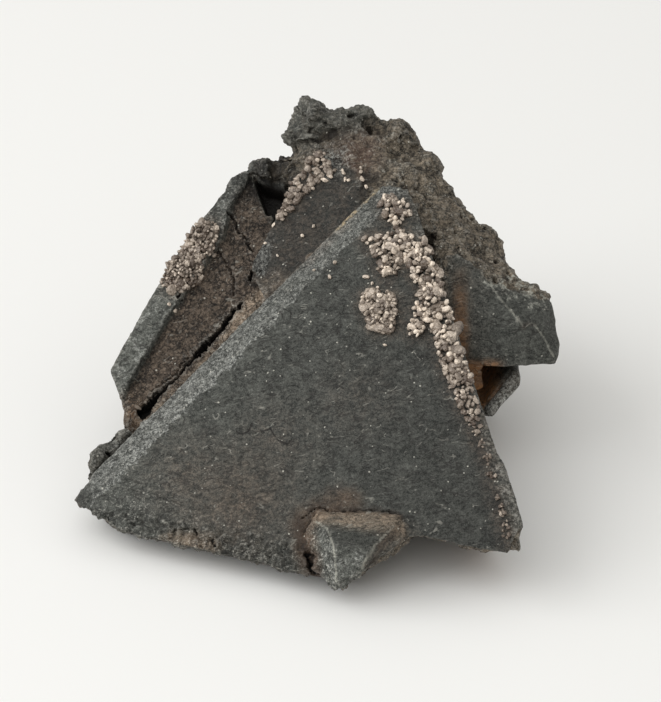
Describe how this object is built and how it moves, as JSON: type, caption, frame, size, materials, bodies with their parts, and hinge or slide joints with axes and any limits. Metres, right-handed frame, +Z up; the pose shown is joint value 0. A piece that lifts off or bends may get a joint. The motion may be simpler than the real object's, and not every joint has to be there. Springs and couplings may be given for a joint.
{
  "type": "tennantite crystal cluster",
  "caption": "Group of dark grey tetrahedral tennantite crystals grown together on rough ore, with pale crystal crusts along its edges, resting on a flat break.",
  "frame": {"origin": "middle of the specimen's outline seen from above, on the surface that it rests on", "axes": "+Z up, -Y towards the side that the largest crystal face looks to, +X to the right of that face"},
  "size_m": [0.0494, 0.0557, 0.033],
  "materials": {
    "tennantite": "dull grey-black metallic ore with fine grain, brown tarnish in the hollows and a lighter grainy bevel",
    "pale_crust": "small pale pinkish-beige crystals with bright facets and brown dirt between them"
  },
  "bodies": {
    "root": {"tennantite_cluster": "tennantite", "edge_crust": "pale_crust", "face_crust": "pale_crust", "small_crust": "pale_crust", "left_plate_crust": "pale_crust", "middle_plate_crust": "pale_crust"}
  },
  "joints": []
}
